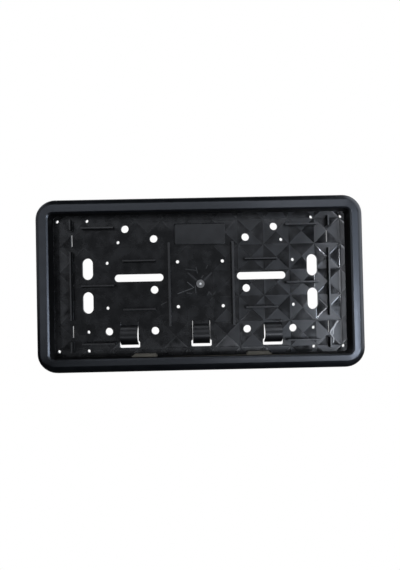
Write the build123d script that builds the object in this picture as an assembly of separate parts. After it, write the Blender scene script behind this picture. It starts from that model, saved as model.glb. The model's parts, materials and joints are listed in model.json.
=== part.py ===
from build123d import *
from math import ceil
import os

# Number plate holder for a 2:1 car plate: one thin-walled moulding.
# Drawn lying on its back, X to the right, Y up the plate, Z to the front, back plane at Z = 0.
# The last step stands it up, so that the finished part faces -Y with +Z up.

# Overall size, in millimetres
outer_width = 315.0
outer_height = 167.0
total_depth = 18.0
wall = 2.0

# Rim section
rim_width = 14.5
rim_bevel = 6.0
rim_shoulder = 9.5
rim_crown = 0.5
rim_chamfer_width = 1.4
rim_chamfer_depth = 1.2
rim_draft = 0.4
window_corner_radius = 5.0

# Webs inside the hollow of the rim
web_thickness = 1.4
web_setback = 5.0
web_spacing = 52.0

# Floor with its low square pyramids
floor_back = 4.3
floor_wall = 2.2
pyramid_pitch = 25.0
pyramid_height = 0.6

# Bolt holes, as places on the right half that are mirrored to the left
bolt_hole_diameter = 7.5
centre_bolt_x = 45.0
centre_bolt_y = 45.0
middle_bolt_y = -5.0
upper_bolt_x = 73.0
upper_bolt_y = 55.0
lower_bolt_x = 90.0

# Bolt slots
side_slot_width = 10.5
side_slot_length = 21.0
side_slot_x = 110.0
side_slot_y = 16.5
cross_slot_width = 7.2
cross_slot_length = 48.0
cross_slot_x = 60.0
cross_slot_y = 7.0

# Screw holes
screw_hole_diameter = 3.2
corner_screw_x = 139.0
edge_screw_x = 110.0
edge_screw_y = 63.5
upper_screw_x = 80.0
upper_screw_y = 42.0
side_screw_x = 91.0
inner_screw = 22.0

# Ribs that the plate lies on
rib_height = 2.6
rib_thickness = 1.4
short_rib_length = 31.5
outer_rib_x = 99.0
outer_rib_y = 56.0
inner_rib_x = 59.0
inner_rib_y = 23.5
centre_rib_x = 32.0
centre_rib_length = 81.0
centre_rib_thickness = 1.8
end_rib_x = 125.0
end_rib_length = 66.0
end_stub_length = 10.0
end_stub_y = 59.2
relief_slot_width = 1.2
relief_slot_length = 11.5
relief_slot_y = 44.5

# Spring tongues along the foot of the floor, between narrow slits that widen at the free end
tongue_spacing = 70.0
tongue_width = 16.6
tongue_side_gap = 0.3
tongue_window_top = -36.0
tongue_window_bottom = -61.2
tongue_foot_width = 19.8
tongue_foot_height = 6.6
tongue_foot_corner = 1.5
tongue_end_gap = 4.0
tongue_root = 2.0
tongue_crest = 5.5
tongue_thickness = 1.8

# Wedge lugs at the foot of the lower wall
lug_x = 55.0
lug_length = 24.5
lug_end_taper = 2.2
lug_depth = 2.4
lug_step = 2.6
lug_rise = 7.5

# Bare name panel and moulding gate
panel_width = 50.0
panel_height = 20.5
panel_y = 49.0
panel_corner = 2.0
panel_rise = 0.4
gate_diameter = 8.0
gate_rise = 0.3
gate_nub_diameter = 2.2
gate_nub_rise = 0.5

# Sizes that follow from those above
window_width = outer_width - 2 * rim_width
window_height = outer_height - 2 * rim_width
floor_front = floor_back + floor_wall
crest = floor_front + pyramid_height
sink = floor_wall / 2
overcut = 1.0


def both_sides(x, y):
    """A place on the right half and its mirror image on the left."""
    return [(x, y), (-x, y)]


def four_corners(x, y):
    """A place and its mirror images left, right, above and below."""
    return both_sides(x, y) + both_sides(x, -y)


def raised(sketch, places, bottom, top):
    """One upright solid of the sketch at each place, from bottom to top."""
    return [Pos(x, y, bottom) * extrude(sketch, top - bottom) for x, y in places]


def rim_path(corner_radius):
    """The window's outline, walked once round from the middle of the right side."""
    half_width = window_width / 2
    half_height = window_height / 2
    edges = [Line((half_width, 0), (half_width, half_height - corner_radius))]
    runs = [window_width, window_height, window_width, half_height]
    for run in runs:
        edges.append(JernArc(edges[-1] @ 1, edges[-1] % 1, corner_radius, 90))
        straight = run - 2 * corner_radius if run > half_height else run - corner_radius
        edges.append(Line(edges[-1] @ 1, edges[-1] @ 1 + (edges[-1] % 1) * straight))
    return Wire(edges)


def at_rim(offset, height):
    """A point of the rim's section, offset outwards from the window's edge."""
    return (window_width / 2 + offset, 0, height)


def rim_face():
    """The rim's section: an upturned channel with a rounded shoulder and a chamfered inner edge."""
    skin = rim_width - wall
    outer_break = rim_width - rim_bevel
    front = total_depth - rim_crown
    lean = rim_draft / 2
    outer_foot = Line(at_rim(rim_width, 0), at_rim(rim_width - lean, rim_shoulder))
    shoulder = TangentArc(outer_foot @ 1, at_rim(outer_break, front), tangent=outer_foot % 1)
    band = Line(shoulder @ 1, at_rim(rim_chamfer_width, total_depth))
    chamfer_edge = Line(band @ 1, at_rim(0, total_depth - rim_chamfer_depth))
    inner_face = Line(chamfer_edge @ 1, at_rim(-rim_draft, floor_back))
    inner_foot = Line(inner_face @ 1, at_rim(wall - rim_draft, floor_back))
    inner_back = Line(inner_foot @ 1, at_rim(wall, total_depth - wall - rim_crown / 2))
    band_back = Line(inner_back @ 1, at_rim(outer_break - wall / 2, front - wall))
    skirt_top = at_rim(skin - lean, rim_shoulder)
    shoulder_back = TangentArc(skirt_top, band_back @ 1, tangent=outer_foot % 1)
    skirt_back = Line(skirt_top, at_rim(skin, 0))
    foot = Line(skirt_back @ 1, outer_foot @ 0)
    return make_face(
        [outer_foot, shoulder, band, chamfer_edge, inner_face, inner_foot, inner_back]
        + [band_back, shoulder_back, skirt_back, foot]
    )


def web_face():
    """The section of one web, from inside the inner wall to inside the skirt."""
    inner = wall / 2
    outer = rim_width - wall / 2
    top = total_depth - rim_crown - wall / 2
    side = Line(at_rim(outer, web_setback), at_rim(outer, rim_shoulder))
    slope = TangentArc(side @ 1, at_rim(rim_width - rim_bevel - wall / 4, top), tangent=side % 1)
    return make_face(
        [
            side,
            slope,
            Line(slope @ 1, at_rim(inner, top)),
            Line(at_rim(inner, top), at_rim(inner, web_setback)),
            Line(at_rim(inner, web_setback), side @ 0),
        ]
    )


def evenly(length):
    """Places of the webs along one straight side, centred on it."""
    count = max(1, int((length - 2 * window_corner_radius) / web_spacing))
    return [(i - (count - 1) / 2) * web_spacing for i in range(count)]


def make_rim():
    """The channel swept round the window, with thin webs across its hollow."""
    path = rim_path(window_corner_radius)
    web = extrude(web_face(), web_thickness / 2, both=True)
    to_top = (window_height - window_width) / 2
    on_sides = [Pos(0, y, 0) * web for y in evenly(window_height)]
    on_top = [Rot(0, 0, 90) * Pos(to_top, -x, 0) * web for x in evenly(window_width)]
    opposite = [Rot(0, 0, 180) * piece for piece in on_sides + on_top]
    return sweep(rim_face(), path=path) + on_sides + on_top + opposite


def tent_face(plane, span):
    """The saw-tooth section of the floor across one direction."""
    cells = ceil(span / pyramid_pitch / 2) + 1
    points = [(-(cells + 0.5) * pyramid_pitch, floor_back)]
    for i in range(-cells, cells + 1):
        points.append(((i - 0.5) * pyramid_pitch, floor_front))
        points.append((i * pyramid_pitch, crest))
    points.append(((cells + 0.5) * pyramid_pitch, floor_front))
    points.append(((cells + 0.5) * pyramid_pitch, floor_back))
    return plane * make_face(Polyline(points, close=True))


def make_floor():
    """The floor: two crossing rows of low roofs leave a square pyramid on every cell."""
    tuck = wall / 2 - rim_draft
    outline = RectangleRounded(
        window_width + 2 * tuck, window_height + 2 * tuck, window_corner_radius + tuck
    )
    roofs_across = extrude(tent_face(Plane.XZ, window_width), window_height, both=True)
    roofs_up = extrude(tent_face(Plane.YZ, window_height), window_width, both=True)
    block = Pos(0, 0, floor_back) * extrude(outline, crest)
    return block & roofs_across & roofs_up


def screw_places():
    """Where the small screw holes are."""
    return (
        four_corners(corner_screw_x, edge_screw_y)
        + four_corners(edge_screw_x, edge_screw_y)
        + both_sides(upper_screw_x, upper_screw_y)
        + four_corners(side_screw_x, inner_screw)
        + both_sides(edge_screw_x, -centre_bolt_y)
        + four_corners(inner_screw, inner_screw)
    )


def bolt_places():
    """Where the round bolt holes are."""
    return (
        four_corners(centre_bolt_x, centre_bolt_y)
        + both_sides(centre_bolt_x, middle_bolt_y)
        + both_sides(upper_bolt_x, upper_bolt_y)
        + both_sides(lower_bolt_x, -centre_bolt_y)
    )


def make_ribs():
    """Ribs that carry the plate, all of one height."""
    bottom = floor_front - sink
    top = floor_front + rib_height
    short_rib = Rectangle(short_rib_length, rib_thickness)
    short_places = (
        four_corners(outer_rib_x, outer_rib_y)
        + both_sides(outer_rib_x, 0)
        + four_corners(inner_rib_x, inner_rib_y)
    )
    centre_rib = Rectangle(centre_rib_thickness, centre_rib_length)
    end_rib = Rectangle(rib_thickness, end_rib_length)
    end_stub = Rectangle(rib_thickness, end_stub_length)
    return (
        raised(short_rib, short_places, bottom, top)
        + raised(centre_rib, both_sides(centre_rib_x, 0), bottom, top)
        + raised(end_rib, both_sides(end_rib_x, 0), bottom, top)
        + raised(end_stub, four_corners(end_rib_x, end_stub_y), bottom, top)
    )


def tongue_window():
    """The opening round one tongue: a slit along each side and a wider slot past the free end."""
    slits_height = tongue_window_top - tongue_window_bottom
    slits = Pos(0, tongue_window_top - slits_height / 2) * Rectangle(
        tongue_width + 2 * tongue_side_gap, slits_height
    )
    foot = Pos(0, tongue_window_bottom + tongue_foot_height / 2) * RectangleRounded(
        tongue_foot_width, tongue_foot_height, tongue_foot_corner
    )
    return slits + foot


def make_tongue():
    """A spring tongue: a flat root that runs into a half-round hump, free at its lower end."""
    free_end = tongue_window_bottom + tongue_end_gap
    root_end = tongue_window_top - tongue_root
    half_span = (root_end - free_end) / 2
    rise = floor_wall + tongue_crest
    radius = (half_span**2 + rise**2) / (2 * rise)
    middle = (root_end + free_end) / 2
    ring = Circle(radius) - Circle(radius - tongue_thickness)
    above_back = Pos(0, radius - rise / 2) * Rectangle(4 * radius, rise)
    hump = Plane.YZ * Pos(middle, floor_front + tongue_crest - radius) * (ring & above_back)
    root_length = 2 * tongue_root + tongue_thickness
    root = Pos(0, tongue_window_top - root_length / 2 + tongue_root, floor_back) * Box(
        tongue_width, root_length, floor_wall, align=(Align.CENTER, Align.CENTER, Align.MIN)
    )
    return extrude(hump, tongue_width / 2, both=True) + root


def make_lug():
    """A wedge at the foot of the lower wall, with sloping ends, that lifts the plate off the wall."""
    wall_y = -window_height / 2
    tip_y = wall_y + lug_depth
    buried_y = wall_y - wall / 2
    side = Polyline(
        [
            (buried_y, floor_front - sink),
            (tip_y, floor_front - sink),
            (tip_y, floor_front + lug_step),
            (buried_y, floor_front + lug_rise),
        ],
        close=True,
    )
    half_tip = lug_length / 2 - lug_end_taper
    flare = lug_end_taper * wall / 2 / lug_depth
    half_back = lug_length / 2 + flare
    plan = Polyline(
        [(-half_back, buried_y), (half_back, buried_y), (half_tip, tip_y), (-half_tip, tip_y)],
        close=True,
    )
    long_wedge = extrude(Plane.YZ * make_face(side), lug_length, both=True)
    return long_wedge & extrude(make_face(plan), total_depth)


def make_cuts():
    """Every opening through the floor."""
    bottom = -overcut
    top = total_depth
    side_slot = SlotOverall(side_slot_length, side_slot_width, rotation=90)
    cross_slot = SlotOverall(cross_slot_length, cross_slot_width)
    relief_slot = Rectangle(relief_slot_width, relief_slot_length)
    return (
        raised(Circle(bolt_hole_diameter / 2), bolt_places(), bottom, top)
        + raised(Circle(screw_hole_diameter / 2), screw_places(), bottom, top)
        + raised(side_slot, four_corners(side_slot_x, side_slot_y), bottom, top)
        + raised(cross_slot, both_sides(cross_slot_x, cross_slot_y), bottom, top)
        + raised(relief_slot, four_corners(end_rib_x, relief_slot_y), bottom, top)
    )


def make_holder():
    """The whole moulding, lying on its back."""
    tongue_places = [(i * tongue_spacing, 0) for i in (-1, 0, 1)]
    windows = raised(tongue_window(), tongue_places, -overcut, total_depth)
    panel = RectangleRounded(panel_width, panel_height, panel_corner)
    details = (
        make_ribs()
        + raised(panel, [(0, panel_y)], floor_front - sink, crest + panel_rise)
        + raised(Circle(gate_diameter / 2), [(0, 0)], floor_front - sink, crest + gate_rise)
        + raised(Circle(gate_nub_diameter / 2), [(0, 0)], floor_front, crest + gate_rise + gate_nub_rise)
        + [Pos(x, 0, 0) * make_lug() for x in (-lug_x, lug_x)]
    )
    floor = make_floor() - windows
    tongues = [Pos(x, 0, 0) * make_tongue() for x, _ in tongue_places]
    return make_rim() + floor + details + tongues - make_cuts()


plate_holder = Rot(90, 0, 0) * make_holder()

os.makedirs("parts", exist_ok=True)
export_step(plate_holder, "parts/plate_holder.step")
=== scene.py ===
"""Looks of the moulded number plate holder: finishes, wear, floor, light and camera."""

import json
import logging
from dataclasses import dataclass, field
from enum import Enum
from math import cos, floor, hypot, pi, radians, sin, sqrt, tan
from typing import Any

import bpy
from mathutils import Matrix, Vector

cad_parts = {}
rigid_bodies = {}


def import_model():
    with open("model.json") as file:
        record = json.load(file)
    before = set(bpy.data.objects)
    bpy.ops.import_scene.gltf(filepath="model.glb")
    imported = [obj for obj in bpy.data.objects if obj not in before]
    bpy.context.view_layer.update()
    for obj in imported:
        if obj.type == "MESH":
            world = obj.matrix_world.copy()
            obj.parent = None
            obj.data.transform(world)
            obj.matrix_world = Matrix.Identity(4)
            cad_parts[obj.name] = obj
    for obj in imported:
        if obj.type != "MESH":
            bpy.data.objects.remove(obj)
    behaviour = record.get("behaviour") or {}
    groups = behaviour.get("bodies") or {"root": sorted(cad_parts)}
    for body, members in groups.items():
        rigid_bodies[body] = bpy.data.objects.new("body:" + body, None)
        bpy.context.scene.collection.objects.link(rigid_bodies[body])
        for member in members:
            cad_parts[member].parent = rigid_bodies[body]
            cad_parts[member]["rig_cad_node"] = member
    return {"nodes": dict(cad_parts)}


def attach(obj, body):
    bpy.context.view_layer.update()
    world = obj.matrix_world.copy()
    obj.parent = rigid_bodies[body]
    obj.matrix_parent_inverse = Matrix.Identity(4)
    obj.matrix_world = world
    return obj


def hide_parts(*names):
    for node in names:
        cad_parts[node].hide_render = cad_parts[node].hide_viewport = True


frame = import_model()

log = logging.getLogger("plate_holder")
MILLIMETRE = 0.001
WINDOW_LIGHT = "#e2edff"
ROOM_LIGHT = "#f0f5ff"
MATH = "ShaderNodeMath"
VECTOR = "ShaderNodeVectorMath"
MIX = "ShaderNodeMix"
RANGE = "ShaderNodeMapRange"
NOISE = "ShaderNodeTexNoise"
SPLIT = "ShaderNodeSeparateXYZ"


def linear(hex_colour: str) -> tuple[float, float, float, float]:
    """Turns an sRGB hex colour into linear light.

    Args:
        hex_colour: Six hex digits after a hash sign.

    Returns:
        Red, green, blue and an alpha of one.
    """
    parts = [int(hex_colour[i : i + 2], 16) / 255 for i in (1, 3, 5)]
    light = [p / 12.92 if p <= 0.04045 else ((p + 0.055) / 1.055) ** 2.4 for p in parts]
    return (light[0], light[1], light[2], 1.0)


def add_node(
    tree: bpy.types.NodeTree, kind: str, inputs: dict | None = None, **settings: Any
) -> bpy.types.Node:
    """Adds one node with its settings, and links or sets its inputs.

    Args:
        tree: The node tree that the node joins.
        kind: Blender's name of the node type.
        inputs: Socket names or numbers, each with a source node, a source socket or a value.
        **settings: The node's own properties.

    Returns:
        The new node.
    """
    node = tree.nodes.new(kind)
    for name, value in settings.items():
        setattr(node, name, value)
    for socket, source in (inputs or {}).items():
        if isinstance(source, bpy.types.Node):
            source = source.outputs[0]
        if isinstance(source, bpy.types.NodeSocket):
            tree.links.new(source, node.inputs[socket])
        else:
            node.inputs[socket].default_value = source
    return node


def select_only(obj: bpy.types.Object) -> None:
    """Selects one object, which becomes the active one, and nothing else.

    Args:
        obj: The object.
    """
    bpy.ops.object.select_all(action="DESELECT")
    obj.select_set(True)
    bpy.context.view_layer.objects.active = obj


class Finish(Enum):
    """The surfaces that the steel mould and use give the plastic, and finishes of painted light and
    shade on lugs, rib tops, panel and recess walls.
    """

    SATIN = 0
    GRAINED = 1
    POLISHED = 2
    GATE = 3
    RUBBED = 4
    RIB_TOP = 5
    PLAIN = 6
    TORN = 7
    MATT = 8
    WALL = 9


@dataclass(frozen=True)
class MouldedSurface:
    """One finish of the black polypropylene.

    Attributes:
        material: Name of the Blender material.
        colour: Colour of the clean plastic.
        dust: Colour where a faint film of dust lies.
        roughness: How far the finish spreads a reflection.
        sheen: Strength of the reflection, a half for plain plastic.
        sheen_tint: Tint of the reflection.
        warp: Height of a slow waviness.
        faceted: Whether it has soft facet borders, scratches and the painted glint by the right
            wall.
        faded: Roughness on the left, where it differs from the right.
        mottle: How much the roughness changes from patch to patch.
    """

    material: str
    colour: str
    dust: str
    roughness: float
    sheen: float = 0.5
    sheen_tint: str = "#ffffff"
    warp: float = 0.0
    faceted: bool = False
    faded: float | None = None
    mottle: float = 0.0


def moulded_surfaces() -> dict[Finish, MouldedSurface]:
    """Lists the finishes of the moulding.

    Returns:
        The make-up of each finish, with a comment on what it gives the eye.
    """
    return {
        # A soft, slightly blue sheen that shades the rim's bands evenly.
        Finish.SATIN: MouldedSurface(
            material="satin_polypropylene",
            colour="#060708",
            dust="#0a0b0c",
            roughness=0.31,
            sheen_tint="#f2f7ff",
            mottle=0.025,
        ),
        # Wide reflections, which make every other triangle lighter on the right.
        Finish.GRAINED: MouldedSurface(
            material="grained_polypropylene",
            colour="#090909",
            dust="#151515",
            roughness=0.43,
            sheen=0.47,
            warp=0.35 * MILLIMETRE,
            faceted=True,
            faded=0.27,
            mottle=0.06,
        ),
        # Tight reflections, which leave the triangles between them dark.
        Finish.POLISHED: MouldedSurface(
            material="polished_polypropylene",
            colour="#090909",
            dust="#171717",
            roughness=0.19,
            sheen=0.6,
            warp=0.2 * MILLIMETRE,
            faceted=True,
            mottle=0.06,
        ),
        # A grey disc where the plastic entered the mould.
        Finish.GATE: MouldedSurface(
            material="gate_mark_polypropylene", colour="#605e5b", dust="#6e6c68", roughness=0.45
        ),
        # Painted light: a warm, dull grey on the lugs' sloping faces, standing in for the light
        # they catch.
        Finish.RUBBED: MouldedSurface(
            material="lug_painted_light_polypropylene", colour="#5a564c", dust="#6b665b", roughness=0.55
        ),
        # Painted light: rib tops a little greyer than the floor, standing in for the light they
        # catch, so that the ribs read as lines.
        Finish.RIB_TOP: MouldedSurface(
            material="rib_top_painted_light_polypropylene", colour="#222120", dust="#2b2a29", roughness=0.42
        ),
        # Painted light: an even grey on the small raised panel, lighter than the black plastic,
        # standing in for the light its flat face reflects.
        Finish.PLAIN: MouldedSurface(
            material="plain_panel_painted_light_polypropylene",
            colour="#161616",
            dust="#1d1d1d",
            roughness=0.38,
            mottle=0.03,
        ),
        # A nearly white tip where the sprue was torn off.
        Finish.TORN: MouldedSurface(
            material="torn_sprue_polypropylene", colour="#d8d6d0", dust="#e6e4de", roughness=0.5
        ),
        # Black with soft grey bands across the humps of the tongues.
        Finish.MATT: MouldedSurface(
            material="matt_polypropylene",
            colour="#060606",
            dust="#0b0b0b",
            roughness=0.33,
            sheen=0.6,
            mottle=0.03,
        ),
        # Painted shade: nearly black colour and a weak reflection on recess walls and rib flanks,
        # which frame the floor.
        Finish.WALL: MouldedSurface(
            material="recess_wall_painted_shade_polypropylene",
            colour="#020202",
            dust="#050505",
            roughness=0.45,
            sheen=0.2,
        ),
    }


@dataclass(frozen=True)
class WearMark:
    """One scratch or scuff on the floor, from a start to an end in millimetres."""

    start: tuple[float, float]
    end: tuple[float, float]
    width: float
    depth: float


GATE_SCRATCHES = (
    WearMark((-22.2, -9.3), (-7.9, -4.2), 0.6, 0.26),
    WearMark((-12.5, 1.8), (-6.4, -3.7), 0.65, 0.28),
    WearMark((-11.8, 10.8), (-3.7, 3.5), 1.1, 0.1),
    WearMark((4.3, 3.8), (11.0, 10.4), 1.2, 0.1),
    WearMark((-4.0, 16.2), (-2.7, 10.6), 0.6, 0.16),
    WearMark((5.9, 15.0), (7.5, 18.0), 0.6, 0.14),
    WearMark((8.3, -7.8), (6.6, -11.4), 0.55, 0.16),
    WearMark((8.3, -7.8), (10.4, -10.7), 0.55, 0.14),
    WearMark((12.3, -10.7), (14.8, -8.2), 0.55, 0.12),
    WearMark((-14.0, 14.6), (-4.1, 13.2), 0.7, 0.12),
    WearMark((-13.6, -8.7), (-9.0, -9.3), 0.6, 0.16),
    WearMark((-4.9, -2.0), (-4.6, -8.8), 0.6, 0.18),
    WearMark((-38.5, -19.8), (-33.4, -17.0), 0.6, 0.18),
    WearMark((1.4, 6.0), (3.0, 8.0), 0.8, 0.12),
)
# Scratches by the right wall, drawn in the pale scratch colour as a painted glint.
EDGE_SCUFF_GLINTS = (
    WearMark((133.4, -39.4), (129.8, -44.8), 1.0, 1.0),
    WearMark((129.8, -44.8), (126.9, -48.4), 1.1, 1.0),
    WearMark((126.9, -48.4), (126.4, -51.0), 1.0, 0.9),
    WearMark((126.4, -51.0), (129.6, -56.0), 0.8, 0.7),
    WearMark((129.6, -56.0), (129.0, -60.0), 0.9, 0.9),
    WearMark((132.2, -41.5), (129.3, -47.0), 0.8, 0.9),
    WearMark((129.3, -47.0), (129.0, -51.5), 0.9, 0.9),
    WearMark((129.0, -51.5), (127.6, -54.0), 0.7, 0.6),
)


@dataclass(frozen=True)
class BurredSpot:
    """A round spot where the facet borders have a burr that glints, in millimetres."""

    x: float
    z: float
    reach: float


SLOT_BURRS = (BurredSpot(113, -25, 18), BurredSpot(120, 22, 10))


@dataclass(frozen=True)
class BlackPolypropylene:
    """Injection-moulded black polypropylene, dark all through, with a waxy satin sheen.

    The floor's facets leave the mould in turn grained and polished, so that light from the side
    shows a chequer of lighter and darker triangles, and their soft borders catch thin glints.
    """

    surfaces: dict[Finish, MouldedSurface] = field(default_factory=moulded_surfaces)
    ior: float = 1.49
    # Pale colour of the scratches: real wear round the gate, and a painted glint by the right wall.
    scratched_and_glint: str = "#90908e"
    pitch: float = 25 * MILLIMETRE
    edge_radius: float = 0.35 * MILLIMETRE
    edge_samples: int = 4
    # Soft borders of the facets, faint on the left and crisp on the right
    border_width: float = 0.8 * MILLIMETRE
    border_height: float = 0.17 * MILLIMETRE
    burr_height: float = 0.14 * MILLIMETRE
    crisp_from: float = 115 * MILLIMETRE
    soft_share: float = 0.2
    border_patches: float = 0.6
    border_range: tuple[float, float] = (0.38, 0.62)
    border_detail: float = 2.0
    # Where the grain changes from its left to its right roughness
    fade_from: float = 8 * MILLIMETRE
    fade_to: float = 45 * MILLIMETRE
    # Slow waviness of the floor, and patches of dust and of roughness
    warp_length: float = 22 * MILLIMETRE
    warp_detail: float = 1.0
    dust_length: float = 9 * MILLIMETRE
    dust_range: tuple[float, float] = (0.4, 0.7)
    dust_detail: float = 5.0
    mottle_range: tuple[float, float] = (0.35, 0.65)

    def make(self, finish: Finish) -> bpy.types.Material:
        """Builds the node material of one finish.

        Args:
            finish: Which surface of the moulding it covers.

        Returns:
            The finished material.
        """
        surface = self.surfaces[finish]
        material = bpy.data.materials.new(surface.material)
        material.use_nodes = True
        tree = material.node_tree
        tree.nodes.clear()
        place = add_node(tree, "ShaderNodeTexCoord").outputs["Object"]
        grain = {"Vector": place, "Scale": 1 / self.dust_length, "Detail": self.dust_detail}
        patches = add_node(tree, NOISE, grain)
        dusty = add_node(tree, RANGE, {0: patches, 1: self.dust_range[0], 2: self.dust_range[1]})
        tones = {0: dusty, 6: linear(surface.colour), 7: linear(surface.dust)}
        colour = add_node(tree, MIX, tones, data_type="RGBA").outputs[2]
        normal = add_node(
            tree, "ShaderNodeBevel", {"Radius": self.edge_radius}, samples=self.edge_samples
        )
        if surface.faceted:
            tones = {0: self.wear_and_glint(tree, place), 6: colour, 7: linear(self.scratched_and_glint)}
            colour = add_node(tree, MIX, tones, data_type="RGBA").outputs[2]
            height = self.relief(tree, place, surface.warp)
            bumps = {"Height": height, "Distance": 1.0, "Normal": normal}
            normal = add_node(tree, "ShaderNodeBump", bumps)
        look = {
            "Base Color": colour,
            "Roughness": self.roughness(tree, place, patches, surface),
            "IOR": self.ior,
            "Specular IOR Level": surface.sheen,
            "Specular Tint": linear(surface.sheen_tint),
            "Normal": normal,
        }
        shader = add_node(tree, "ShaderNodeBsdfPrincipled", look)
        add_node(tree, "ShaderNodeOutputMaterial", {"Surface": shader})
        return material

    def roughness(
        self,
        tree: bpy.types.NodeTree,
        place: bpy.types.NodeSocket,
        patches: bpy.types.Node,
        surface: MouldedSurface,
    ) -> Any:
        """Gives the roughness of a finish, faded to the left and mottled where it is so.

        Args:
            tree: The material's node tree.
            place: Object coordinates.
            patches: Noise that the mottle follows.
            surface: The finish.

        Returns:
            A plain number, or a node that gives the roughness.
        """
        rough: Any = surface.roughness
        if surface.faded is not None:
            across = add_node(tree, SPLIT, {0: place})
            fade = {0: across, 1: self.fade_from, 2: self.fade_to, 3: surface.faded, 4: rough}
            rough = add_node(tree, RANGE, fade)
        if surface.mottle:
            low, high = self.mottle_range
            change = {0: patches, 1: low, 2: high, 3: -surface.mottle, 4: surface.mottle}
            mottled = add_node(tree, RANGE, change)
            rough = add_node(tree, MATH, {0: rough, 1: mottled}, operation="ADD")
        return rough

    def border_distance(
        self, tree: bpy.types.NodeTree, place: bpy.types.NodeSocket
    ) -> bpy.types.Node:
        """Measures how far the nearest border of a facet lies.

        Args:
            tree: The material's node tree.
            place: Object coordinates.

        Returns:
            A node that gives the distance in metres.
        """
        half_cell = 0.5
        scaled = add_node(tree, VECTOR, {0: place, 1: (1 / self.pitch,) * 3}, operation="MULTIPLY")
        shifted = add_node(tree, VECTOR, {0: scaled, 1: (half_cell,) * 3}, operation="ADD")
        cell = add_node(tree, VECTOR, {0: shifted}, operation="FLOOR")
        offset = add_node(tree, VECTOR, {0: scaled, 1: cell}, operation="SUBTRACT")
        reach = add_node(tree, VECTOR, {0: offset}, operation="ABSOLUTE")
        sides = add_node(tree, SPLIT, {0: reach})
        across, upward = sides.outputs[0], sides.outputs[2]
        larger = add_node(tree, MATH, {0: across, 1: upward}, operation="MAXIMUM")
        to_valley = add_node(tree, MATH, {0: half_cell, 1: larger}, operation="SUBTRACT")
        lean = add_node(tree, MATH, {0: across, 1: upward}, operation="SUBTRACT")
        lean_size = add_node(tree, MATH, {0: lean}, operation="ABSOLUTE")
        to_ridge = add_node(tree, MATH, {0: lean_size, 1: sqrt(0.5)}, operation="MULTIPLY")
        nearest = add_node(tree, MATH, {0: to_valley, 1: to_ridge}, operation="MINIMUM")
        return add_node(tree, MATH, {0: nearest, 1: self.pitch}, operation="MULTIPLY")

    def relief(
        self, tree: bpy.types.NodeTree, place: bpy.types.NodeSocket, warp: float
    ) -> bpy.types.Node:
        """Gives the height of the soft facet borders and of the floor's slight warp.

        Args:
            tree: The material's node tree.
            place: Object coordinates.
            warp: Height of the slow waviness.

        Returns:
            A node that gives the height in metres.
        """
        border = self.border_distance(tree, place)
        share = add_node(tree, MATH, {0: border, 1: self.border_width}, operation="DIVIDE")
        square = add_node(tree, MATH, {0: share, 1: share}, operation="MULTIPLY")
        minus = add_node(tree, MATH, {0: square, 1: -1.0}, operation="MULTIPLY")
        lip = add_node(tree, MATH, {0: minus}, operation="EXPONENT")
        scale = self.border_patches / self.pitch
        patches = add_node(
            tree, NOISE, {"Vector": place, "Scale": scale, "Detail": self.border_detail}
        )
        low, high = self.border_range
        patchy = add_node(tree, RANGE, {0: patches, 1: low, 2: high, 3: 0.0, 4: self.border_height})
        across = add_node(tree, SPLIT, {0: place})
        crisp = add_node(
            tree, RANGE, {0: across, 1: 0.0, 2: self.crisp_from, 3: self.soft_share, 4: 1.0}
        )
        sharp = add_node(tree, MATH, {0: patchy, 1: self.burrs(tree, place)}, operation="ADD")
        patchy_lip = add_node(tree, MATH, {0: lip, 1: sharp}, operation="MULTIPLY")
        lip_height = add_node(tree, MATH, {0: patchy_lip, 1: crisp}, operation="MULTIPLY")
        slow = {"Vector": place, "Scale": 1 / self.warp_length, "Detail": self.warp_detail}
        swell = add_node(tree, NOISE, slow)
        waves = add_node(tree, MATH, {0: swell, 1: warp}, operation="MULTIPLY")
        return add_node(tree, MATH, {0: lip_height, 1: waves}, operation="ADD")

    def burrs(self, tree: bpy.types.NodeTree, place: bpy.types.NodeSocket) -> bpy.types.Node:
        """Gives the extra height of the burred borders beside the right slots.

        Args:
            tree: The material's node tree.
            place: Object coordinates.

        Returns:
            A node that gives the extra height in metres.
        """
        flat = add_node(tree, VECTOR, {0: place, 1: (1, 0, 1)}, operation="MULTIPLY")
        burr: Any = 0.0
        for spot in SLOT_BURRS:
            middle = Vector((spot.x, 0, spot.z)) * MILLIMETRE
            reach = spot.reach * MILLIMETRE
            gap = add_node(tree, VECTOR, {0: flat, 1: middle}, operation="DISTANCE").outputs[1]
            rise = add_node(
                tree, RANGE, {0: gap, 1: reach / 2, 2: reach, 3: self.burr_height, 4: 0.0}
            )
            burr = add_node(tree, MATH, {0: rise, 1: burr}, operation="ADD")
        return burr

    def wear_and_glint(self, tree: bpy.types.NodeTree, place: bpy.types.NodeSocket) -> bpy.types.Node:
        """Marks fine scratches round the gate, and scratches by the right wall whose glint is
        painted in pale colour.

        Args:
            tree: The material's node tree.
            place: Object coordinates.

        Returns:
            A node that gives how much pale scratch colour lies there, the painted glint included.
        """
        flat = add_node(tree, VECTOR, {0: place, 1: (1, 0, 1)}, operation="MULTIPLY")
        worn_and_glint: Any = 0.0
        for mark in GATE_SCRATCHES + EDGE_SCUFF_GLINTS:
            start = Vector((mark.start[0], 0, mark.start[1])) * MILLIMETRE
            run = Vector((mark.end[0], 0, mark.end[1])) * MILLIMETRE - start
            width = mark.width * MILLIMETRE
            away = add_node(tree, VECTOR, {0: flat, 1: start}, operation="SUBTRACT")
            along = add_node(tree, VECTOR, {0: away, 1: run}, operation="DOT_PRODUCT").outputs[1]
            share = add_node(
                tree, MATH, {0: along, 1: run.length_squared}, operation="DIVIDE", use_clamp=True
            )
            foot = add_node(tree, VECTOR, {0: run, "Scale": share}, operation="SCALE")
            gap = add_node(tree, VECTOR, {0: away, 1: foot}, operation="DISTANCE").outputs[1]
            line = add_node(tree, RANGE, {0: gap, 1: 0.0, 2: width, 3: mark.depth, 4: 0.0})
            worn_and_glint = add_node(tree, MATH, {0: line, 1: worn_and_glint}, operation="MAXIMUM")
        return worn_and_glint


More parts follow.
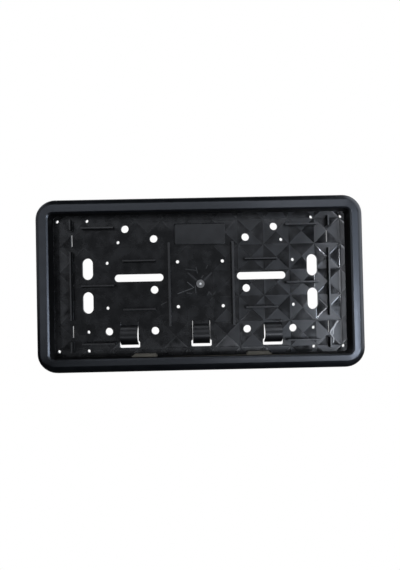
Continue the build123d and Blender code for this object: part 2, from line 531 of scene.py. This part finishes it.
@dataclass
class PlateHolder:
    """The one moulding: rim, faceted floor, ribs and tongues.

    Depths are measured forwards from the back plane.
    """

    cad_node: str = "plate_holder"
    body: str = "root"
    slot: str = "black_plastic"
    plastic: BlackPolypropylene = field(default_factory=BlackPolypropylene)
    weld: float = 0.001 * MILLIMETRE
    tolerance: float = 0.05 * MILLIMETRE
    smooth_below: float = radians(10.5)
    # Rim and recess
    window_half: tuple[float, float] = (143 * MILLIMETRE, 69 * MILLIMETRE)
    window_corner: float = 5 * MILLIMETRE
    rim_width: float = 14.5 * MILLIMETRE
    crease_run: float = 8.5 * MILLIMETRE
    right_ease: float = 1.35 * MILLIMETRE
    upper_ease: float = 0.4 * MILLIMETRE
    lower_ease: float = 2.2 * MILLIMETRE
    front_share: float = 0.1
    wall_share: float = 0.3
    # Facets of the floor
    floor_valley: float = 6.4 * MILLIMETRE
    floor_crest: float = 7.2 * MILLIMETRE
    facet_base: float = 6.5 * MILLIMETRE
    facet_height: float = 0.6 * MILLIMETRE
    facet_ease: float = 0.4
    facet_lean: float = radians(5)
    whole_cells: float = 137.5 * MILLIMETRE
    # Ribs: which flanks move sideways, and which level ribs have a sloping lower flank
    rib_front: float = 9.1 * MILLIMETRE
    rib_margin: float = 0.7 * MILLIMETRE
    rib_rise: float = 2.0 * MILLIMETRE
    rib_foot: float = 6.3 * MILLIMETRE
    rib_reach: float = 62 * MILLIMETRE
    rib_shifts: dict[float, float] = field(
        default_factory=lambda: {
            -32.9 * MILLIMETRE: 2.0 * MILLIMETRE,
            -31.1 * MILLIMETRE: 2.2 * MILLIMETRE,
            31.1 * MILLIMETRE: -0.4 * MILLIMETRE,
        }
    )
    level_ribs: tuple[tuple[float, float], ...] = (
        (99 * MILLIMETRE, 0.0),
        (59 * MILLIMETRE, 23.5 * MILLIMETRE),
        (59 * MILLIMETRE, -23.5 * MILLIMETRE),
    )
    level_half_length: float = 15.8 * MILLIMETRE
    level_half_width: float = 0.7 * MILLIMETRE
    level_draft: float = 0.9 * MILLIMETRE
    # Panel and gate
    panel_front: float = 8.0 * MILLIMETRE
    panel_rise: float = 0.5 * MILLIMETRE
    panel_middle: float = 49 * MILLIMETRE
    panel_draft: float = 0.9 * MILLIMETRE
    gate_radius: float = 4.1 * MILLIMETRE
    nub_radius: float = 1.2 * MILLIMETRE
    nub_front: float = 7.6 * MILLIMETRE
    # Tongues and lugs
    tongue_x: float = 70 * MILLIMETRE
    tongue_half_width: float = 8.5 * MILLIMETRE
    tongue_root: float = -38 * MILLIMETRE
    tongue_end: float = -58 * MILLIMETRE
    tongue_bend: float = 6 * MILLIMETRE
    tongue_sag: float = 1.4 * MILLIMETRE
    lug_x: float = 55 * MILLIMETRE
    lug_half_length: float = 13.6 * MILLIMETRE
    lug_top: float = -66.3 * MILLIMETRE
    lug_foot: float = -69.2 * MILLIMETRE

    def build(self) -> bpy.types.Object:
        """Makes a merged copy of the solid, with smooth rounds; its facets are made flat when it is
        dressed.

        Returns:
            The piece that stands for the solid.
        """
        select_only(frame["nodes"][self.cad_node])
        bpy.ops.object.duplicate()
        piece = bpy.context.active_object
        piece.name = "moulded_holder"
        del piece["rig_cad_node"]
        select_only(piece)
        bpy.ops.mesh.customdata_custom_splitnormals_clear()
        bpy.ops.object.mode_set(mode="EDIT")
        bpy.ops.mesh.select_all(action="SELECT")
        bpy.ops.mesh.remove_doubles(threshold=self.weld)
        bpy.ops.object.mode_set(mode="OBJECT")
        self.ease_rim(piece)
        bpy.ops.object.shade_smooth_by_angle(angle=self.smooth_below)
        return piece

    def dress(self, piece: bpy.types.Object) -> None:
        """Gives each face its finish, settles the forms and ties the piece to the frame.

        Args:
            piece: The merged copy.
        """
        piece.data.materials.clear()
        for finish in Finish:
            piece.data.materials.append(self.plastic.make(finish))
        for face in piece.data.polygons:
            finish = self.finish_of(face)
            face.material_index = finish.value
            if finish in (Finish.GRAINED, Finish.POLISHED):
                face.use_smooth = False
        self.ease_facets(piece)
        self.raise_ribs_and_panel(piece)
        self.move_centre_ribs(piece)
        self.draft_level_ribs(piece)
        self.lower_tongues(piece)
        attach(piece, self.body)
        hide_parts(self.cad_node)

    def finish_of(self, face: bpy.types.MeshPolygon) -> Finish:
        """Tells from a face's place and lean which finish it gets: a finish of the mould, or one of
        painted light or shade.

        Args:
            face: A face of the merged copy.

        Returns:
            The finish of that face.
        """
        x, y, z = face.center
        depth = -y
        if depth > self.nub_front and hypot(x, z) < self.nub_radius:
            return Finish.TORN
        if depth > self.floor_valley and hypot(x, z) < self.gate_radius:
            return Finish.GATE
        faces_front = face.normal.y < -cos(self.facet_lean)
        if depth < self.floor_crest:
            on_floor = faces_front and depth > self.floor_valley
            return self.facet_finish(face) if on_floor else Finish.SATIN
        if self.at_tongue(x, z):
            return Finish.MATT
        # Lugs, panel and rib tops take finishes of painted light, and upright faces in the recess
        # one of painted shade.
        if abs(abs(x) - self.lug_x) < self.lug_half_length and self.lug_foot < z < self.lug_top:
            return Finish.RUBBED
        if faces_front and depth < self.panel_front:
            return Finish.PLAIN
        if faces_front and abs(depth - self.rib_front) < self.rib_margin:
            return Finish.RIB_TOP
        # Upright faces inside the window get the painted shade of the wall finish.
        past_window = max(abs(x) - self.window_half[0], abs(z) - self.window_half[1])
        upright = abs(face.normal.y) < self.wall_share
        return Finish.WALL if upright and past_window < self.tolerance else Finish.SATIN

    def facet_finish(self, face: bpy.types.MeshPolygon) -> Finish:
        """Tells which of the two facet finishes a face of the floor has.

        Args:
            face: A face of the floor.

        Returns:
            Grained or polished, in turn, and grained beside the end walls.
        """
        x, _, z = face.center
        leans_upward = abs(face.normal.z) > abs(face.normal.x)
        even_cell = (self.cell(x) + self.cell(z)) % 2 == 0
        grained = abs(x) > self.whole_cells or leans_upward == even_cell
        return Finish.GRAINED if grained else Finish.POLISHED

    def cell(self, place: float) -> int:
        """Counts the pyramids from the middle to a place."""
        return floor(place / self.plastic.pitch + 0.5)

    def at_tongue(self, x: float, z: float) -> bool:
        """Tells whether a place lies on one of the three tongues."""
        across = min(abs(x), abs(abs(x) - self.tongue_x))
        return across < self.tongue_half_width and self.tongue_end < z < self.tongue_root

    def facet_front(self, x: float, z: float) -> float:
        """Tells how far the eased floor stands in front of the back plane.

        Args:
            x: Place across.
            z: Place upward.

        Returns:
            The depth of the facet there.
        """
        reach = max(abs(place / self.plastic.pitch - self.cell(place)) for place in (x, z))
        return self.facet_base + self.facet_height * self.facet_ease * (1 - 2 * reach)

    def corners_of(self, piece: bpy.types.Object, *finishes: Finish) -> list[Vector]:
        """Collects the corners of all faces with the given finishes.

        Args:
            piece: The merged copy, with its finishes given.
            *finishes: The finishes looked for.

        Returns:
            The places of the corners, each once, which move the mesh when they are changed.
        """
        wanted = {finish.value for finish in finishes}
        faces = [face for face in piece.data.polygons if face.material_index in wanted]
        return [piece.data.vertices[i].co for i in {i for face in faces for i in face.vertices}]

    def rib_corners(self, piece: bpy.types.Object) -> list[Vector]:
        """Collects the corners in front of the floor's back that ribs may have."""
        places = [vertex.co for vertex in piece.data.vertices]
        return [p for p in places if -p.y >= self.rib_foot and abs(p.z) <= self.rib_reach]

    def ease_rim(self, piece: bpy.types.Object) -> None:
        """Moves the rim's outer crease inwards, which makes its right and lower edges rounder.

        Args:
            piece: The merged copy.
        """
        fronts = [face for face in piece.data.polygons if face.normal.y < -self.front_share]
        for i in {i for face in fronts for i in face.vertices}:
            place = piece.data.vertices[i].co
            across = max(0.0, abs(place.x) - self.window_half[0] + self.window_corner)
            upward = max(0.0, abs(place.z) - self.window_half[1] + self.window_corner)
            reach = hypot(across, upward)
            run = reach - self.window_corner
            if run > self.crease_run - self.weld:
                share = max(0.0, self.rim_width - run) / (self.rim_width - self.crease_run)
                side = self.right_ease if place.x > 0 else 0.0
                level = self.upper_ease if place.z > 0 else self.lower_ease
                ease = share * (side * across**2 + level * upward**2) / reach**3
                place.x -= ease * across * (1 if place.x > 0 else -1)
                place.z -= ease * upward * (1 if place.z > 0 else -1)

    def ease_facets(self, piece: bpy.types.Object) -> None:
        """Lowers the pyramids, whose ridges have sunk as the plastic cooled.

        Args:
            piece: The merged copy, with its finishes given.
        """
        for place in self.corners_of(piece, Finish.GRAINED, Finish.POLISHED):
            place.y = -self.facet_base + (place.y + self.facet_base) * self.facet_ease

    def raise_ribs_and_panel(self, piece: bpy.types.Object) -> None:
        """Raises the ribs' tops and the panel, and slopes the panel's left and upper edge.

        Args:
            piece: The merged copy, with its finishes given.
        """
        for place in self.corners_of(piece, Finish.RIB_TOP):
            place.y -= self.rib_rise
        for place in self.corners_of(piece, Finish.PLAIN):
            place.y -= self.panel_rise
            place.x += self.panel_draft if place.x < 0 else 0.0
            place.z -= self.panel_draft if place.z > self.panel_middle else 0.0

    def move_centre_ribs(self, piece: bpy.types.Object) -> None:
        """Widens the two centre ribs and brings the left one nearer the gate.

        Args:
            piece: The merged copy, with its facets eased.
        """
        for place in self.rib_corners(piece):
            shifts = [
                shift
                for flank, shift in self.rib_shifts.items()
                if abs(place.x - flank) < self.tolerance
            ]
            if shifts:
                place.x += shifts[0]
                if -place.y < self.floor_crest:
                    place.y = -self.facet_front(place.x, place.z)

    def draft_level_ribs(self, piece: bpy.types.Object) -> None:
        """Slopes the lower flanks of the level ribs, which then show as dark lines in the painted
        shade of the wall finish.

        Args:
            piece: The merged copy, with its facets eased.
        """
        for place in self.rib_corners(piece):
            below = any(
                abs(abs(place.x) - rib_x) < self.level_half_length
                and abs(place.z - rib_z + self.level_half_width) < self.tolerance
                for rib_x, rib_z in self.level_ribs
            )
            if below and -place.y < self.floor_crest:
                place.z -= self.level_draft
                place.y = -self.facet_front(place.x, place.z)

    def lower_tongues(self, piece: bpy.types.Object) -> None:
        """Lets the humps of the spring tongues sag a little towards their free ends.

        Args:
            piece: The merged copy.
        """
        for vertex in piece.data.vertices:
            place = vertex.co
            if self.at_tongue(place.x, place.z):
                share = min(1.0, (self.tongue_root - place.z) / self.tongue_bend)
                place.z -= self.tongue_sag * share


@dataclass
class PaleFloor:
    """A plain floor well below the holder, white to the eye and dim to the plastic."""

    half_size: float = 3.0
    drop: float = 0.5
    colour: str = "#3c3d40"

    def build(self) -> bpy.types.Object:
        """Lays the floor and gives it its paper.

        Returns:
            The floor.
        """
        bpy.ops.object.select_all(action="DESELECT")
        bpy.ops.mesh.primitive_plane_add(size=2 * self.half_size, location=(0, 0, -self.drop))
        paper_floor = bpy.context.active_object
        paper_floor.name = "pale_floor"
        # Studio paper gives the eye plain white and the plastic hardly any light.
        material = bpy.data.materials.new("studio_paper")
        material.use_nodes = True
        tree = material.node_tree
        tree.nodes.clear()
        seen = add_node(tree, "ShaderNodeLightPath").outputs["Is Camera Ray"]
        paper = add_node(tree, "ShaderNodeBsdfDiffuse", {"Color": linear(self.colour)})
        glow = add_node(tree, "ShaderNodeEmission", {"Strength": 1.0})
        both = add_node(tree, "ShaderNodeMixShader", {0: seen, 1: paper, 2: glow})
        add_node(tree, "ShaderNodeOutputMaterial", {"Surface": both})
        paper_floor.data.materials.append(material)
        return paper_floor


@dataclass(frozen=True)
class SoftLamp:
    """A rectangular soft lamp or reflecting card that faces the holder.

    Its place and size are angles in degrees, seen from the holder's middle, and its glow is one
    where it looks white.
    """

    name: str
    bearing: float
    lift: float
    across: float
    upward: float
    glow: float
    colour: str = ROOM_LIGHT
    distance: float = 0.9

    def build(self) -> bpy.types.Object:
        """Places the lamp and turns it to the holder's middle.

        Returns:
            The lamp.
        """
        turn = radians(self.bearing)
        lift = radians(self.lift)
        towards = Vector((sin(turn) * cos(lift), -cos(turn) * cos(lift), sin(lift)))
        bpy.ops.object.select_all(action="DESELECT")
        bpy.ops.object.light_add(type="AREA", location=towards * self.distance)
        lamp = bpy.context.active_object
        lamp.name = self.name
        lamp.rotation_euler = towards.to_track_quat("Z", "Y").to_euler()
        lamp.visible_camera = False
        lamp.data.shape = "RECTANGLE"
        lamp.data.size = 2 * self.distance * tan(radians(self.across / 2))
        lamp.data.size_y = 2 * self.distance * tan(radians(self.upward / 2))
        lamp.data.energy = self.glow * pi * lamp.data.size * lamp.data.size_y
        lamp.data.color = linear(self.colour)[:3]
        return lamp


@dataclass(frozen=True)
class EdgeSpot:
    """A spot lamp whose round pool of light just reaches the holder's right edge.

    Its level is one where a white sheet at its aim looks white.
    """

    name: str = "edge_spot"
    place: tuple[float, float, float] = (0.2, -0.8, 0.0)
    aim: tuple[float, float, float] = (0.395, 0.0, -0.03)
    half_angle: float = 20
    level: float = 1.0
    colour: str = ROOM_LIGHT
    blend: float = 0.05
    radius: float = 0.03

    def build(self) -> bpy.types.Object:
        """Places the lamp and turns it to its aim.

        Returns:
            The lamp.
        """
        away = Vector(self.place) - Vector(self.aim)
        bpy.ops.object.select_all(action="DESELECT")
        bpy.ops.object.light_add(type="SPOT", location=self.place)
        lamp = bpy.context.active_object
        lamp.name = self.name
        lamp.rotation_euler = away.to_track_quat("Z", "Y").to_euler()
        lamp.visible_camera = False
        lamp.data.spot_size = radians(2 * self.half_angle)
        lamp.data.spot_blend = self.blend
        lamp.data.shadow_soft_size = self.radius
        lamp.data.energy = self.level * 4 * pi * pi * away.length_squared
        lamp.data.color = linear(self.colour)[:3]
        return lamp


@dataclass(frozen=True)
class StudioLight:
    """The lamps and reflecting cards round the holder."""

    lamps: tuple[SoftLamp | EdgeSpot, ...] = (
        # A window low on the right, which lights the right limb and the grained facets
        SoftLamp(
            "window_low",
            bearing=46.5,
            lift=-13.5,
            across=15,
            upward=21,
            glow=16.5,
            colour=WINDOW_LIGHT,
        ),
        SoftLamp(
            "window_high",
            bearing=46.5,
            lift=8.5,
            across=15,
            upward=23,
            glow=3.1,
            colour=WINDOW_LIGHT,
        ),
        # Ceiling and table, mirrored by the upper and the lower band of the rim
        SoftLamp("ceiling", bearing=-8.5, lift=26, across=53, upward=12, glow=1.25),
        SoftLamp("ceiling_right", bearing=28, lift=26, across=20, upward=12, glow=3.5),
        SoftLamp("table_right", bearing=23, lift=-23, across=30, upward=11, glow=4.8),
        SoftLamp("table_left", bearing=-10, lift=-23, across=36, upward=11, glow=1.4),
        # Walls, mirrored by the left limb and by the outer slopes
        SoftLamp("left_wall", bearing=-44, lift=5, across=17, upward=38, glow=1.5),
        SoftLamp("right_wall", bearing=89, lift=20, across=38, upward=70, glow=1.65),
        SoftLamp("far_left", bearing=-85, lift=22, across=40, upward=50, glow=0.35),
        # Dim cards in front, mirrored by the floor
        SoftLamp("front_wall", bearing=-11, lift=2, across=38, upward=32, glow=0.19),
        SoftLamp("front_right", bearing=16, lift=1.5, across=16, upward=30, glow=0.35),
        # A strip close above, which draws the line along the lower chamfer
        SoftLamp(
            "strip", bearing=0, lift=54.5, across=98, upward=6.5, glow=3.8, distance=0.172
        ),
        # A dim card behind, which lets the back be read
        SoftLamp(
            "back_card", bearing=180, lift=22, across=100, upward=62, glow=0.6, distance=1.4
        ),
        EdgeSpot(),
    )

    def build(self) -> list[bpy.types.Object]:
        """Places all the lamps, in order."""
        return [lamp.build() for lamp in self.lamps]


@dataclass
class Room:
    """The dim room round the holder, and the white that the camera sees behind it."""

    colour: str = "#c4cad6"
    strength: float = 0.05

    def build(self) -> bpy.types.World:
        """Makes the world and hands it to the scene.

        Returns:
            The world.
        """
        world = bpy.data.worlds.new("studio_room")
        world.use_nodes = True
        tree = world.node_tree
        tree.nodes.clear()
        seen = add_node(tree, "ShaderNodeLightPath").outputs["Is Camera Ray"]
        room = {"Color": linear(self.colour), "Strength": self.strength}
        dim = add_node(tree, "ShaderNodeBackground", room)
        white = add_node(
            tree, "ShaderNodeBackground", {"Color": linear("#ffffff"), "Strength": 1.0}
        )
        both = add_node(tree, "ShaderNodeMixShader", {0: seen, 1: dim, 2: white})
        add_node(tree, "ShaderNodeOutputWorld", {"Surface": both})
        bpy.context.scene.world = world
        return world


@dataclass
class PhotoCamera:
    """The camera, about the holder's own width in front of it and nearly square to it."""

    place: tuple[float, float, float] = (-0.0020, -0.3038, -0.0037)
    pitch: float = 0.48
    roll: float = 1.19
    yaw: float = -0.31
    focal_pixels: float = 303.8
    image_height_pixels: int = 570
    nearest: float = 0.01

    def build(self) -> bpy.types.Object:
        """Places the camera and makes it the scene's own.

        Returns:
            The camera.
        """
        data = bpy.data.cameras.new("photo_camera")
        data.lens = data.sensor_width * self.focal_pixels / self.image_height_pixels
        data.clip_start = self.nearest
        camera = bpy.data.objects.new("photo_camera", data)
        camera.matrix_world = (
            Matrix.Translation(self.place)
            @ Matrix.Rotation(radians(self.yaw), 4, "Z")
            @ Matrix.Rotation(radians(self.pitch), 4, "X")
            @ Matrix.Rotation(radians(self.roll), 4, "Y")
            @ Matrix.Rotation(radians(90), 4, "X")
        )
        bpy.context.scene.collection.objects.link(camera)
        bpy.context.scene.camera = camera
        return camera


def main() -> None:
    """Builds the holder, the floor, the light and the camera."""
    logging.basicConfig(level=logging.INFO, format="%(name)s: %(message)s")
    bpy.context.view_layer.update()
    bpy.context.scene.view_settings.view_transform = "Standard"
    holder = PlateHolder()
    piece = holder.build()
    holder.dress(piece)
    log.info("%s has %d faces", piece.name, len(piece.data.polygons))
    log.info("laid %s", PaleFloor().build().name)
    for lamp in StudioLight().build():
        log.info("lit %s", lamp.name)
    log.info("made %s", Room().build().name)
    log.info("placed %s", PhotoCamera().build().name)


if __name__ == "__main__":
    main()
